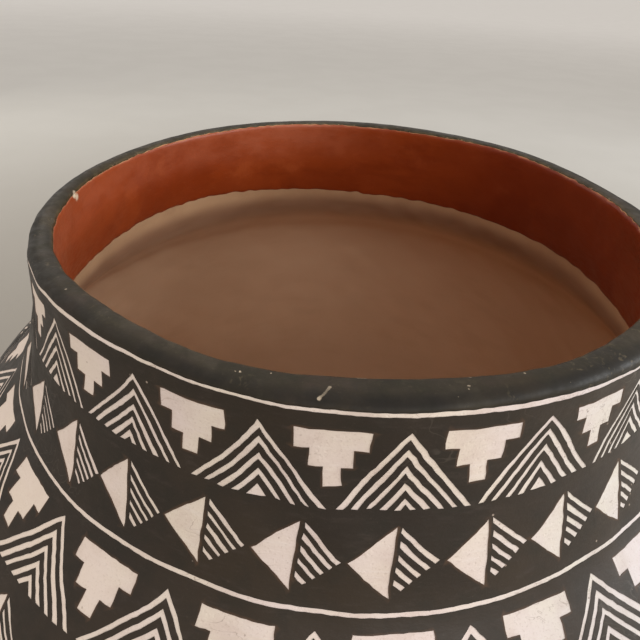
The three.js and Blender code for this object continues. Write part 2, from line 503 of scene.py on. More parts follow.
def lip_paint():
    k = Mat("lip_paint", 0.30)
    big, mid, fine = k.noise(28, 4), k.noise(130, 4, 0.62), k.noise(1200, 3)
    cross = k.noise(260, 3, 0.6)
    c = k.mix(k.remap(big, 0.36, 0.64), lin(41, 35, 22), lin(53, 43, 28))
    c = k.mix(k.remap(mid, 0.42, 0.70, 0, 0.7), c, lin(40, 38, 25))
    c = k.mix(k.remap(k.noise(75, 3, 0.6, k.stretch(1, 1, 1, (0.4, 0, 0))), 0.55, 0.74, 0, 0.5), c, lin(60, 45, 39))
    patch = k.noise(52, 5, 0.68, k.stretch(1, 1, 1, (0.1, 0.9, 0)))
    c = k.mix(k.remap(patch, 0.53, 0.66, 0, 0.45), c, lin(72, 64, 50))
    c = k.mix(k.remap(patch, 0.47, 0.36, 0, 0.50), c, lin(29, 24, 16))
    c = k.mix(k.remap(cross, 0.55, 0.80, 0, 0.45), c, lin(82, 72, 56))
    c = k.mix(k.remap(fine, 0.60, 0.80, 0, 0.4), c, lin(84, 74, 59))
    # worn to a grey green along the mouth's edge, and painted shade makes it darker where it rounds over
    worn = k.math("MULTIPLY", k.attribute("worn"), k.remap(k.noise(160, 3, 0.6), 0.38, 0.60, 0.25, 1.0))
    c = k.mix(k.math("MULTIPLY", worn, 0.6), c, lin(106, 96, 74))
    rounding_shade = k.math("MULTIPLY", k.attribute("round"), k.remap(k.noise(70, 3, 0.6), 0.30, 0.66, 1.0, 0.55))
    c = k.mix(k.math("MULTIPLY", rounding_shade, 0.85), c, lin(24, 20, 15))
    # painted shade: warmer and darker on both sides of the mouth, which takes out the cool sheen that the lamps lay
    # there
    x, y, z = k.xyz()
    c = k.mix(k.remap(x, -0.050, -0.100), c, (0.97, 0.91, 0.72, 1), "MULTIPLY")
    c = k.mix(k.remap(x, 0.015, 0.065), c, (0.95, 0.92, 0.82, 1), "MULTIPLY")
    # crumbs of bare clay at the paint's very edge
    crumb = k.math("MULTIPLY", k.remap(k.attribute("worn"), 0.80, 0.97), k.remap(k.noise(620, 2, 0.6), 0.56, 0.66))
    crumb = k.math("MULTIPLY", crumb, k.remap(k.noise(58, 3, 0.6, k.stretch(1, 1, 1, (0.2, 0.5, 0))), 0.46, 0.60))
    c = k.mix(k.math("MULTIPLY", crumb, 0.9), c, lin(176, 146, 112))
    # short dry strokes of the brush, along and across the lip
    dry = k.math("MULTIPLY", k.remap(k.noise(330, 3, 0.6, k.stretch(1, 1, 1, (0.7, 0.1, 0)), 1.4), 0.58, 0.70), k.remap(k.noise(60, 2), 0.48, 0.62))
    c = k.mix(k.math("MULTIPLY", dry, 0.5), c, lin(104, 92, 70))
    # small specks of the pale slip, and grains
    flecks = k.cells(420)
    hit = k.math("MULTIPLY", k.remap(flecks, 0.04, 0.075, 1, 0), k.remap(k.noise(75, 2), 0.58, 0.64))
    c = k.mix(k.math("MULTIPLY", hit, 0.6), c, lin(140, 128, 110))
    shaken = k.jitter(1500, 0.0007)
    chips = k.spots([(place, size, 1.0) for place, size in CHIP] + [
        (on_lip(258.7, 116.4), 0.00035, 0.9), (on_lip(258.2, 116.6), 0.00030, 0.5),
        (on_lip(261.2, 113.15), 0.00045, 0.8), (on_lip(261.7, 113.2), 0.0004, 0.6), (on_lip(262.2, 115.2), 0.0003, 0.7),
        (on_lip(268.25, 119.3), 0.0006, 0.75), (on_lip(268.35, 119.0), 0.0005, 0.55), (on_lip(268.5, 118.7), 0.0004, 0.4),
        (on_lip(268.62, 118.4), 0.0004, 0.33), (on_lip(268.75, 118.1), 0.0004, 0.3), (on_lip(268.88, 117.8), 0.0004, 0.3),
        (on_lip(269.0, 117.5), 0.0004, 0.33), (on_lip(269.12, 117.2), 0.0004, 0.4), (on_lip(269.25, 116.9), 0.00045, 0.5),
        (on_lip(272.4, 113.9), 0.0004, 0.5), (on_lip(272.8, 113.8), 0.0004, 0.5), (on_lip(273.2, 113.8), 0.0004, 0.5),
        (on_lip(285.6, 113.9), 0.0004, 0.6), (on_lip(284.7, 116.6), 0.00035, 0.5), (on_lip(284.5, 117.3), 0.0003, 0.4),
        (on_lip(292.3, 114.9), 0.00035, 0.7), (on_lip(293.4, 113.15), 0.0005, 0.75), (on_lip(293.9, 113.15), 0.0005, 0.7),
        (on_lip(96.0, 113.3), 0.0006, 0.7), (on_lip(41.0, 113.3), 0.0008, 0.6), (on_lip(146.0, 113.2), 0.0006, 0.6),
        (on_lip(338.0, 114.0), 0.0006, 0.7), (on_lip(318.0, 118.9), 0.0006, 0.7), (on_lip(229.0, 117.0), 0.0004, 0.5)], shaken)
    c = k.mix(chips, c, lin(204, 186, 160))
    k.link(c, k.bsdf.inputs["Base Color"])
    r = k.math("ADD", k.remap(mid, 0.3, 0.7, 0.42, 0.60, False), k.remap(cross, 0.4, 0.7, -0.04, 0.06, False))
    r = k.math("ADD", r, k.math("MULTIPLY", rounding_shade, 0.13))     # duller where it rounds over
    r = k.math("ADD", r, k.math("MULTIPLY", chips, 0.25))
    k.link(r, k.bsdf.inputs["Roughness"])
    n = k.bump(k.noise(95, 3, 0.55), 0.24, 0.0008)
    n = k.bump(cross, 0.13, 0.0004, n)
    n = k.bump(fine, 0.12, 0.0002, n)
    n = k.bump(k.math("SUBTRACT", 1.0, chips), 0.5, 0.0003, n)
    k.link(n, k.bsdf.inputs["Normal"])
    return k.m


def red_slip(name="red_slip", worn=False):
    k = Mat(name, 0.32)
    big, mid = k.noise(14, 4, 0.6), k.noise(52, 4, 0.6)
    fine = k.noise(900, 2)
    sweep = k.noise(40, 3, 0.55, k.stretch(1, 1, 2.6))
    rub = k.noise(200, 3, 0.6, k.stretch(1, 1, 3.5))
    up = k.noise(46, 3, 0.55, k.stretch(1, 1, 0.3))
    c = k.mix(k.remap(big, 0.34, 0.66), lin(137, 52, 16), lin(154, 64, 23))
    c = k.mix(k.remap(sweep, 0.46, 0.70, 0, 0.40), c, lin(123, 43, 12))
    c = k.mix(k.remap(mid, 0.54, 0.74, 0, 0.50), c, lin(172, 81, 37))
    c = k.mix(k.remap(up, 0.54, 0.72, 0, 0.45), c, lin(166, 72, 27))
    c = k.mix(k.remap(rub, 0.57, 0.80, 0, 0.30), c, lin(177, 91, 47))
    # paler and chalkier near the top on one side of the mouth, partly rubbed thin and partly a painted sheen; on the
    # other side, painted shade makes it darker and deeper
    x, y, z = k.xyz()
    wear_and_sheen = k.math("MULTIPLY", k.remap(z, 0.282, 0.300), k.remap(x, 0.035, -0.050))
    wear_and_sheen = k.math("MULTIPLY", wear_and_sheen, k.remap(k.noise(64, 3, 0.55, k.stretch(1, 1, 1.8, (0.3, 0.2, 0))), 0.34, 0.62, 0.40, 0.85))
    c = k.mix(k.math("MULTIPLY", wear_and_sheen, k.remap(x, -0.105, -0.040, 0.65, 1.0)), c, lin(168, 88, 58))
    c = k.mix(k.remap(x, 0.010, 0.095, 0, 0.55), c, lin(112, 31, 5))
    c = k.mix(k.remap(fine, 0.58, 0.80, 0, 0.2), c, lin(99, 35, 10))
    if worn:
        c = k.mix(k.remap(k.noise(38, 5, 0.65), 0.56, 0.66, 0, 0.5), c, lin(150, 96, 64))
    else:
        # a painted highlight, a paler line along the slip's top edge where it rounds on to the lip, and the lip's one
        # large chip
        top = k.attribute("lap_highlight")
        c = k.mix(k.math("MULTIPLY", top, k.remap(k.noise(90, 3), 0.42, 0.62, 0.0, 0.7)), c, lin(190, 115, 82))
        chip = k.spots([(place, size, 1.0) for place, size in CHIP], k.jitter(1500, 0.0007))
        c = k.mix(chip, c, lin(226, 208, 178))
    k.link(c, k.bsdf.inputs["Base Color"])
    r = k.math("ADD", k.remap(mid, 0.3, 0.7, 0.34, 0.50, False), k.remap(rub, 0.4, 0.7, -0.05, 0.09, False))
    k.link(r, k.bsdf.inputs["Roughness"])
    n = k.bump(k.noise(60, 2, 0.5), 0.22, 0.0010)
    n = k.bump(rub, 0.18, 0.0004, n)
    n = k.bump(fine, 0.10, 0.00015, n)
    k.link(n, k.bsdf.inputs["Normal"])
    return k.m


def fired_clay():
    k = Mat("fired_clay", 0.2)
    x, y, z = k.xyz()
    big, mid, fine = k.noise(9, 3, 0.55), k.noise(40, 4, 0.55), k.noise(850, 3, 0.6)
    wipe = k.noise(26, 3, 0.5, k.stretch(1, 1, 3.5))
    c = k.mix(k.remap(big, 0.34, 0.66), lin(208, 171, 137), lin(218, 182, 148))
    c = k.mix(k.remap(wipe, 0.46, 0.7, 0, 0.30), c, lin(199, 160, 126))
    c = k.mix(k.remap(mid, 0.5, 0.75, 0, 0.25), c, lin(224, 191, 158))
    c = k.mix(k.remap(fine, 0.56, 0.78, 0, 0.25), c, lin(178, 140, 109))
    grit = k.cells(420)
    c = k.mix(k.math("MULTIPLY", k.remap(grit, 0.06, 0.14, 1, 0), k.remap(k.noise(150, 1), 0.55, 0.64, 0, 0.5)), c, lin(222, 196, 164))
    # painted light: paler on the inside of the belly, where light in through the mouth falls, and darker further down
    mouth_light = k.math("MULTIPLY", k.remap(z, 0.110, 0.155), k.remap(k.math("ABSOLUTE", x), 0.130, 0.060, 0.12, 0.52))
    c = k.mix(mouth_light, c, lin(236, 200, 166))
    c = k.mix(k.remap(z, 0.125, 0.085, 0, 0.5), c, lin(194, 160, 130))
    # painted shade: darker where the wall turns out under the neck, easing to a lighter, greyer tone just under the red
    # slip
    c = k.mix(k.remap(z, 0.2320, 0.2515, 0, 1), c, k.mix(k.remap(wipe, 0.4, 0.7), lin(166, 128, 99), lin(159, 121, 92)))
    c = k.mix(k.remap(z, 0.2525, 0.2625, 0, 1), c, k.mix(k.remap(mid, 0.4, 0.7), lin(201, 163, 125), lin(193, 154, 117)))
    # tan at the lip, where it shows between the red slip and the paint
    c = k.mix(k.remap(z, 0.3030, 0.3056, 0, 0.8), c, lin(196, 140, 98))
    c = k.mix(k.spots([(place, size, 1.0) for place, size in CHIP], k.jitter(1500, 0.0007)), c, lin(222, 204, 176))
    # darker in the foot's hollow, rubbed paler on the foot ring
    c = k.mix(k.remap(z, 0.0135, 0.0085, 0, 0.45), c, lin(142, 102, 76))
    c = k.mix(k.remap(z, 0.0003, 0.002, 0.6, 0), c, lin(206, 176, 148))
    k.link(c, k.bsdf.inputs["Base Color"])
    k.link(k.remap(mid, 0.3, 0.7, 0.82, 0.95, False), k.bsdf.inputs["Roughness"])
    n = k.bump(wipe, 0.2, 0.0008)
    n = k.bump(k.noise(240, 3, 0.6), 0.15, 0.0004, n)
    n = k.bump(fine, 0.2, 0.0002, n)
    k.link(n, k.bsdf.inputs["Normal"])
    return k.m


M_CREAM, M_CLAY = cream_slip(), fired_clay()
M_PAINT, M_LIP = dark_paint(), lip_paint()
M_RED, M_RED_WORN = red_slip(), red_slip("red_slip_underbody", True)


# ================================================================================
# pieces of revolution
# ================================================================================
def clay_body():
    n = 280
    step = 2.6
    floor = Line([(r, HEIGHT - z) for r, z in (
        (0.0, 12.0), (13.0, 12.05), (26.0, 12.25), (39.0, 12.8), (52.0, 14.0),
        (65.0, 16.0), (78.0, 18.9), (91.0, 22.8), (104.0, 28.2))])
    fr, fz = floor.at(np.linspace(0, floor.length, 34))
    q = np.concatenate([
        np.arange(-INSIDE_LENGTH + 1, -16, step), np.arange(-16, 3, 0.6), np.arange(4, 362, step), [364.0]])
    br, bz = skin(q)
    foot = Line([(r, HEIGHT - z) for r, z in (
        (76.4, 4.2), (74.6, 2.6), (72.7, 1.35), (70.7, 0.45), (68.6, 0.06))])
    tr, tz = foot.at(np.linspace(0, foot.length, 9))
    under = [(67.0, 0.0), (64.0, 0.0), (61.0, 0.0), (58.5, 0.02), (56.8, 0.2), (55.0, 0.55), (52.0, 1.2),
             (46.0, 2.35), (38.0, 3.45), (28.0, 4.3), (16.0, 4.85), (6.0, 5.0), (0.0, 5.0)]
    print("floor meets wall", fr[-1], fz[-1], br[0], bz[0])
    r = np.concatenate([fr, br, tr, [p[0] for p in under]])
    z = np.concatenate([fz, bz, tz, [p[1] for p in under]])
    inner = np.concatenate([np.linspace(0.2, 1, len(fr)), (q < -2).astype(float), np.zeros(len(tr) + len(under))])
    part = np.concatenate([np.zeros(len(fr)), np.where(q < 0.0, 0, 1), np.where(tr < 0, 0, 2), np.full(len(under), 2)])
    path = np.r_[0, np.cumsum(np.hypot(np.diff(r), np.diff(z)) * np.where(part[1:] == 1, 0.08, 1.0))]
    th = np.arange(n) / n * TAU
    m = len(r) - 2
    tt = np.tile(th[:, None], (1, m))
    pts = shape(np.tile(r[1:-1], (n, 1)), np.tile(z[1:-1], (n, 1)), tt, np.tile(inner[1:-1], (n, 1)))
    # the ring that the jar stands on stays flat
    flat = (z[1:-1] <= 0.001)
    pts[:, flat, 2] = 0.0
    verts = np.concatenate([pts.reshape(-1, 3), [(0, 0, z[0] * MM * (1 - RIM_TOP / HEIGHT)), (0, 0, z[-1] * MM)]])
    top, low = n * m, n * m + 1
    faces = []
    for i in range(n):
        a, b = i * m, ((i + 1) % n) * m
        faces.append((top, a, b))
        faces.append((low, b + m - 1, a + m - 1))
        for j in range(m - 1):
            faces.append((a + j, a + j + 1, b + j + 1, b + j))
    ob = new_object("jar_clay_body", verts, faces, M_CLAY)
    vt = np.concatenate([tt.ravel(), [np.nan, np.nan]])
    vq = np.concatenate([np.tile(path[1:-1], (n, 1)).ravel(), [path[0], path[-1]]])
    unroll(ob, vt, vq, np.zeros(len(faces), bool), 1)
    return finish_piece(ob, "clay_body")


def ribbon(name, node, material, n, q0, q1, low, high, step, edge=1.2, thin=0.22, strips=4, tag=()):
    """A thin closed coat on the clay, between two edges that vary round the jar. low
    and high give its heights over the clay by distance along it."""
    th = np.arange(n) / n * TAU
    a, b = q0(th), q1(th)
    span = (b - a)[:, None]
    rows = max(6, int(float(span.max()) / step))
    t = np.linspace(0, 1, rows)
    lead = np.array([0.0, 0.3, 0.75])
    dist = np.concatenate([np.tile(lead, (n, 1)), 1.3 + t[None, :] * (span - 2.6), span - lead[::-1][None, :]], 1)
    near = np.minimum(dist, span - dist)
    k = thin + (1 - thin) * smooth(0.0, edge, near)
    q = a[:, None] + dist
    lo, hi = low(q), high(q)
    m = q.shape[1]
    tt = np.tile(th[:, None], (1, m))
    inner = (q < -2).astype(float)
    pi, po = shape(*skin(q, lo), tt, inner), shape(*skin(q, lo + (hi - lo) * k), tt, inner)
    ring = np.concatenate([po, pi[:, ::-1]], 1)
    w = 2 * m
    faces, hidden = [], []
    for i in range(n):
        x, y = i * w, ((i + 1) % n) * w
        for j in range(w):
            jj = (j + 1) % w
            faces.append((x + j, x + jj, y + jj, y + j))
            hidden.append(j >= m - 1)
    ob = new_object(name, ring.reshape(-1, 3), faces, material)
    vq = np.concatenate([dist, (dist + 0.5)[:, ::-1]], 1)
    unroll(ob, np.tile(th[:, None], (1, w)).ravel(), vq.ravel(), np.array(hidden), strips)
    for label, value in tag:
        at = ob.data.attributes.new(label, "FLOAT", "POINT")
        v = value(q, near)
        at.data.foreach_set("value", np.concatenate([v, v[:, ::-1]], 1).ravel().astype(np.float32))
    return finish_piece(ob, node)


def const(v):
    return lambda q: np.full(np.shape(q), float(v))


EDGE_A = waves(41, 26, (18, 210), (900, 1000), 0.05)
EDGE_B = waves(42, 26, (12, 160), (900, 1000), 0.10)
EDGE_C = waves(43, 22, (8, 110), (900, 1000), 0.28)


def lip_end(th):
    """where the lip's paint ends, a little way down the inside"""
    depth = np.maximum(turn(PAINT_END, th), 0.25) + EDGE_B(th, 0)
    qs = -np.arange(7.0, 14.0, 0.02)
    r, z = skin(qs, 0.43)
    return np.interp(depth, HEIGHT - z, qs)


def coats():
    ribbon("jar_cream_slip", "cream_slip_coat", M_CREAM, 330,
           lambda th: -0.9 + 0 * th, lambda th: 268.0 + drift(268.0, th) + 0.5 * EDGE_A(th, 9),
           const(SLIP[0]), const(SLIP[1]), 2.9, strips=2)
    ribbon("jar_neck_red", "neck_slip_band", M_RED, 600,
           lambda th: -inside_red(th), lambda th: lip_end(th) - 0.12 - 0.25 * smooth(-0.6, 0.9, EDGE_C(th, 40) * 3),
           const(SLIP[0]), const(SLIP[1]), 1.9, edge=1.6, thin=0.14, strips=4,
           # this mask carries a painted highlight along the slip's top edge
           tag=(("lap_highlight", lambda q, near: 1 - smooth(0.1, 0.75, q.max(1, keepdims=True) - q)),))
    ribbon("jar_underbody_red", "underbody_slip_coat", M_RED_WORN, 300,
           lambda th: 269.3 + EDGE_C(th, 0), lambda th: 361.2 + EDGE_C(th, 70) * 1.5,
           const(SLIP[0]), const(SLIP[1]), 3.0, strips=2)

    def under(q):
        return PAINT[0] * smooth(-1.9, -1.0, q) + SLIP[0] * (1 - smooth(-1.9, -1.0, q))

    ribbon("jar_lip_paint", "lip_paint_band", M_LIP, 1400,
           lip_end, lambda th: LIP_EDGE + drift(LIP_EDGE, th) + EDGE_A(th, 0),
           under, const(PAINT[1]), 0.55, edge=0.9, thin=0.25, strips=8,
           tag=(("worn", lambda q, near: 1 - smooth(0.2, 1.6, q - q.min(1, keepdims=True))),
                # the round mask carries the painted shade where the lip rounds over
                ("round", lambda q, near: smooth(-4.6, -2.2, q) * (1 - 0.45 * smooth(-1.1, -0.2, q)))))


def inside_red(th):
    s = turn(RED_END, th) + EDGE_C(th, 200)
    return -np.atleast_1d(inside(s))


# ================================================================================
# the painted ground, with its figures cut out
# ================================================================================
def chevrons(w, h, rnd, pitch=3.5, th=1.8, fill=0.94):
    """nested bars, peak up, on a triangle w wide and h high"""
    a = w * fill / 2
    long = math.hypot(a, h)
    reach, d, out = a * h / long, 0.0, []
    while d < reach - 0.9:
        d1 = d + th * rnd.uniform(0.9, 1.12)
        xo, yo = a - d * long / h, d * long / a
        xi, yi = a - d1 * long / h, d1 * long / a
        if yi < h - 1.6:
            out.append([(-xo, h), (0, yo), (xo, h), (xi, h), (0, yi), (-xi, h)])
        else:
            out.append([(-xo, h), (0, yo), (xo, h)])
            break
        d += pitch * rnd.uniform(0.97, 1.05)
    return out


def stepped(half, run, rise, count, y0=0.0, flip=None, inset=0.0, skip=0):
    """a stepped block hanging from y0: half its top width, run and rise of a step,
    drawn in by inset on each side, less its first steps"""
    x = inset - half + skip * run
    left = [(x, y0 + inset)]
    for k in range(skip, count):
        y = y0 + (k + 1) * rise - inset
        left.append((x, y))
        if k < count - 1:
            x += run
            left.append((x, y))
    pts = left + [(-px, py) for px, py in reversed(left)]
    return [(px, flip - py) for px, py in pts] if flip is not None else pts


def clip(poly, a, b, c):
    out = []
    for i, p in enumerate(poly):
        q = poly[(i + 1) % len(poly)]
        fp, fq = a * p[0] + b * p[1] - c, a * q[0] + b * q[1] - c
        if fp <= 0:
            out.append(p)
        if (fp < 0 < fq) or (fq < 0 < fp):
            t = fp / (fp - fq)
            out.append((p[0] + (q[0] - p[0]) * t, p[1] + (q[1] - p[1]) * t))
    return out


def area(p):
    return 0.5 * sum(p[i][0] * p[(i + 1) % len(p)][1] - p[(i + 1) % len(p)][0] * p[i][1] for i in range(len(p)))


def bars(outline, angle, pitch, th, rnd, phase=0.0, least=1.6):
    """parallel bars at an angle, cut to a convex outline"""
    nx, ny = -math.sin(angle), math.cos(angle)
    ds = [nx * x + ny * y for x, y in outline]
    d, out = min(ds) + phase, []
    while d < max(ds):
        t = th * rnd.uniform(0.9, 1.12)
        p = clip(clip(outline, nx, ny, d + t), -nx, -ny, -d)
        if len(p) >= 3 and abs(area(p)) > least:
            out.append(p)
        d += pitch * rnd.uniform(0.96, 1.05)
    return out


def split_lozenge(c, h, rnd, pitch=3.3, th=1.75, fill=0.94):
    """a diamond, half of it solid and half of it hatched"""
    b, g = c * fill / 2, 0.6
    left = [(-g, g * h / c * 1.2), (-b, h / 2), (-g, h - g * h / c * 1.2)]
    right = [(g, g * h / c * 1.2), (g, h - g * h / c * 1.2), (b, h / 2)]
    return left, bars(right, math.atan2(h / 2, b), pitch, th, rnd)


def lozenge(a, b, inset, cy):
    """a diamond of half-width a and half-height b, drawn in by inset on each side"""
    long = math.hypot(a, b)
    x, y = a - inset * long / b, b - inset * long / a
    return [(0, cy - y), (x, cy), (0, cy + y), (-x, cy)]


class Band:
    """One painted ring between two heights on the wall, with pale figures left out."""

    def __init__(self, name, node, top, bottom, seed, cell, strips):
        self.name, self.node, self.top, self.bottom, self.cell = name, node, top, bottom, cell
        self.rnd = random.Random(seed)
        self.seed, self.strips = seed, strips
        self.ref = radius((top + bottom) / 2)
        self.loops, self.solid, self.rings = [], [], []
        self.jx = waves(seed + 1, 18, (14, 70), (14, 50), 0.11)
        self.jy = waves(seed + 2, 18, (14, 70), (14, 50), 0.11)
        self.kx = waves(seed + 3, 14, (2, 14), (30, 90), 0.40)
        self.ky = waves(seed + 4, 14, (2, 14), (30, 90), 0.30)
        self.fine = [waves(seed + 5 + i, 26, (60, 240), (3.5, 10.0), 0.075) for i in range(2)]

    def figure(self, pts, th0, r, s0, solid=False):
        """pts in mm about a point at angle th0, drawn at radius r, from s0 down"""
        out = []
        j = 0.13
        pts = [(x + self.rnd.uniform(-j, j), y + self.rnd.uniform(-j, j)) for x, y in pts]
        for i, (x, y) in enumerate(pts):
            x2, y2 = pts[(i + 1) % len(pts)]
            n = max(1, round(math.hypot(x2 - x, y2 - y) / 1.7))
            for k in range(n):
                out.append((th0 + (x + (x2 - x) * k / n) / r, s0 + y + (y2 - y) * k / n))
        self.loops.append(np.array(out))
        self.solid.append(solid)

    def ring(self, s0, s1):
        self.rings.append((s0, s1))

    def row_peaks(self, s0, h, count, offset, pitch=3.5, th=1.8):
        """nested peaks, and between them stepped blocks that hang from the top"""
        r = radius(s0 + h / 2)
        w = r * TAU / count
        for k in range(count):
            t = (k + offset) / count * TAU
            tw = t + self.rnd.uniform(-0.3, 0.3) / r
            for p in chevrons(w, h, self.rnd, pitch, th):
                self.figure(p, tw, r, s0)
            rise = h * 0.70 / 3
            run = 0.42 * w * rise / h
            tb = t + TAU / count / 2 + self.rnd.uniform(-0.3, 0.3) / r
            self.figure(stepped(0.255 * w, run, rise, 3), tb, r, s0 + 0.2, True)

    def row_diamonds(self, s0, h, count, offset, pitch=3.3, th=1.75):
        r = radius(s0 + h / 2)
        c = r * TAU / count
        for k in range(count):
            t = (k + offset) / count * TAU + self.rnd.uniform(-0.25, 0.25) / r
            half, hatch = split_lozenge(c, h, self.rnd, pitch, th)
            self.figure(half, t, r, s0, True)
            for p in hatch:
                self.figure(p, t, r, s0)

    def row_great(self, s0, h, count, offset):
        """large nested diamonds round a chequered heart, and stepped blocks between"""
        r = radius(s0 + h / 2)
        w = r * TAU / count
        a, b, cy = w * 0.475, h * 0.485, h / 2
        long = math.hypot(a, b)
        rnd = self.rnd
        for k in range(count):
            t = (k + offset) / count * TAU + rnd.uniform(-0.4, 0.4) / r
            d = 0.0
            for thick, gap in ((2.3, 2.0), (1.7, 1.7), (1.7, 1.7), (1.7, 2.6)):
                self.figure(lozenge(a, b, d, cy), t, r, s0)
                self.figure(lozenge(a, b, d + thick * rnd.uniform(0.95, 1.08), cy), t, r, s0)
                d += thick + gap
            # its heart is a diamond of small diamonds
            xa, yb = a - d * long / b, b - d * long / a
            n = 5
            for i in range(n):
                for j in range(n):
                    if (i + j) % 2:
                        continue
                    u, v = (i + 0.5) / n - 0.5, (j + 0.5) / n - 0.5
                    cx, cz = (u - v) * xa, (u + v) * yb
                    px, py = 0.87 * xa / n, 0.87 * yb / n
                    self.figure([(cx, cy + cz - py), (cx + px, cy + cz), (cx, cy + cz + py), (cx - px, cy + cz)], t, r, s0, True)
            # stepped blocks at the top and the bottom between two diamonds
            tb = t + TAU / count / 2
            for flip in (None, h):
                rise, count_ = 8.2, 4
                run = a / b * rise
                half = w / 2 - 0.075 * w - 3.6
                for inset, skip, solid in ((0.0, 0, False), (1.7, 0, False), (4.6, 1, True)):
                    self.figure(stepped(half, run, rise, count_, 0.2, flip, inset, skip), tb, r, s0, solid)

    def moved(self, th, s):
        """where the hand put a point of the drawing"""
        a = smooth(0, 7, s - self.top) * smooth(0, 7, self.bottom - s)
        fx, fy = (f(th, s) for f in self.fine)
        dx = (self.jx(th, s) + self.kx(th, s)) * a + fx
        dy = (self.jy(th, s) + self.ky(th, s)) * a + fy * (0.6 + 0.4 * a)
        dy = dy + drift(self.top, th) * (1 - smooth(0, 12, s - self.top))
        dy = dy + drift(self.bottom, th) * (1 - smooth(0, 12, self.bottom - s))
        return th + dx / self.ref, s + dy

    def build(self):
        top, bottom, ref = self.top, self.bottom, self.ref
        W = TAU * ref
        margin = 80.0
        g = np.random.default_rng(self.seed)
        line_n = int(W / 1.25)
        lt = np.arange(line_n) / line_n * TAU
        pts = []
        line_ids, figs = [], []
        for v in [top] + [v for pair in self.rings for v in pair] + [bottom]:
            line_ids.append((len(pts), line_n))
            pts.extend(zip(lt.tolist(), [v] * line_n))
        for loop, solid in zip(self.loops, self.solid):
            figs.append((len(pts), len(loop), solid))
            pts.extend(map(tuple, loop))
        base = np.array(pts)
        near_solid = np.zeros(len(base))
        # points just outside each solid figure carry the thin edge of the paint
        halo = []
        for i0, n, solid in figs:
            if not solid:
                continue
            near_solid[i0:i0 + n] = 1.0
            xy = base[i0:i0 + n] * [ref, 1]
            tang = np.roll(xy, -1, 0) - np.roll(xy, 1, 0)
            nv = np.stack([tang[:, 1], -tang[:, 0]], 1)
            nv /= np.maximum(np.linalg.norm(nv, axis=1), 1e-6)[:, None]
            x, y = xy[:, 0], xy[:, 1]
            sign = 1 if (x * np.roll(y, -1) - np.roll(x, -1) * y).sum() > 0 else -1
            halo.append((xy + nv * sign * 0.7) / [ref, 1])
        halo = np.concatenate(halo) if halo else np.zeros((0, 2))

        def clear_of(cand, others, least):
            tree = KDTree(len(others))
            for i, (a, b) in enumerate(others):
                tree.insert((ref * math.cos(a), ref * math.sin(a), b), i)
            tree.balance()
            return np.array([tree.find((ref * math.cos(a), ref * math.sin(a), b))[2] >= least for a, b in cand], bool)

        halo = halo[(halo[:, 1] > top + 0.6) & (halo[:, 1] < bottom - 0.6)] if len(halo) else halo
        if len(halo):
            halo = halo[clear_of(halo, base, 0.58)]
        have = np.concatenate([base, halo])
        rows = max(2, int((bottom - top) / (self.cell * 0.87)))
        cols = int(W / self.cell)
        jj, ii = np.meshgrid(np.arange(1, rows), np.arange(cols), indexing="ij")
        ft = (ii + 0.5 * (jj % 2) + g.uniform(-0.16, 0.16, ii.shape)) / cols * TAU
        fs = top + (jj + g.uniform(-0.16, 0.16, ii.shape)) * (bottom - top) / rows
        fill = np.stack([ft.ravel(), fs.ravel()], 1)
        fill = fill[(fill[:, 1] > top + 0.9) & (fill[:, 1] < bottom - 0.9)]
        fill = fill[clear_of(fill, have, 1.2)]
        allp = np.concatenate([have, fill])
        near_solid = np.concatenate([near_solid, np.zeros(len(allp) - len(base))])
        th, s = allp[:, 0], allp[:, 1]
        wth, ws = self.moved(th, s)
        x = wth * ref
        # copies past both ends, so that the ring closes on itself
        coords, source, index = [], [], {}
        for t in (-1, 0, 1):
            xx = x + t * W
            for i in np.nonzero((xx > -margin) & (xx < W + margin))[0]:
                index[(t, int(i))] = len(coords)
                coords.append(Vector((float(xx[i]), float(ws[i]))))
                source.append(int(i))
        edges, faces = [], []
        for i0, n in line_ids:
            for t in (-1, 0, 1):
                for j in range(n):
                    a = index.get((t, i0 + j))
                    b = index.get((t, i0 + j + 1)) if j < n - 1 else index.get((t + 1, i0))
                    if a is not None and b is not None:
                        edges.append((a, b))
        for i0, n, solid in figs:
            for t in (-1, 0, 1):
                ids = [index.get((t, i0 + j)) for j in range(n)]
                if None not in ids:
                    if area([coords[i] for i in ids]) < 0:
                        ids.reverse()
                    faces.append(ids)
        v2, e2, f2, ov, oe, of = delaunay_2d_cdt(coords, edges, faces, 0, 1e-5, True)
        if len(v2) > len(coords):
            print("crossing lines in", self.name, len(v2) - len(coords), [tuple(round(c, 1) for c in v) for v in v2[len(coords):len(coords) + 5]])
        src = np.array([source[o[0]] if o else -1 for o in ov])
        vx = np.array([(p[0], p[1]) for p in v2])
        tri = np.array([f for f in f2 if len(f) == 3])
        deep = np.array([len(o) for f, o in zip(f2, of) if len(f) == 3])
        good = (src[tri] >= 0).all(1)
        if (~good).any():
            print("lost triangles in", self.name, int((~good).sum()))
        tri, deep = tri[good], deep[good]
        cen = vx[tri].mean(1)
        st = s[src[tri]]
        pale = deep % 2 == 1
        for a, b in self.rings:
            pale |= (st >= a - 1e-6).all(1) & (st <= b + 1e-6).all(1)
        out = (st <= top + 1e-6).all(1) | (st >= bottom - 1e-6).all(1)
        use = (cen[:, 0] >= 0) & (cen[:, 0] < W) & ~pale & ~out
        tri = tri[use]
        p = vx[tri]
        t3 = src[tri]
        ar = (p[:, 1, 0] - p[:, 0, 0]) * (p[:, 2, 1] - p[:, 0, 1]) - (p[:, 2, 0] - p[:, 0, 0]) * (p[:, 1, 1] - p[:, 0, 1])
        t3[ar > 0] = t3[ar > 0][:, ::-1]
        ids, inv = np.unique(t3.ravel(), return_inverse=True)
        return self.shell(wth[ids], ws[ids], inv.reshape(-1, 3), near_solid[ids])

    def shell(self, th, s, tri, edge):
        def point(th, s, h):
            return shape(*skin(s, h), th)

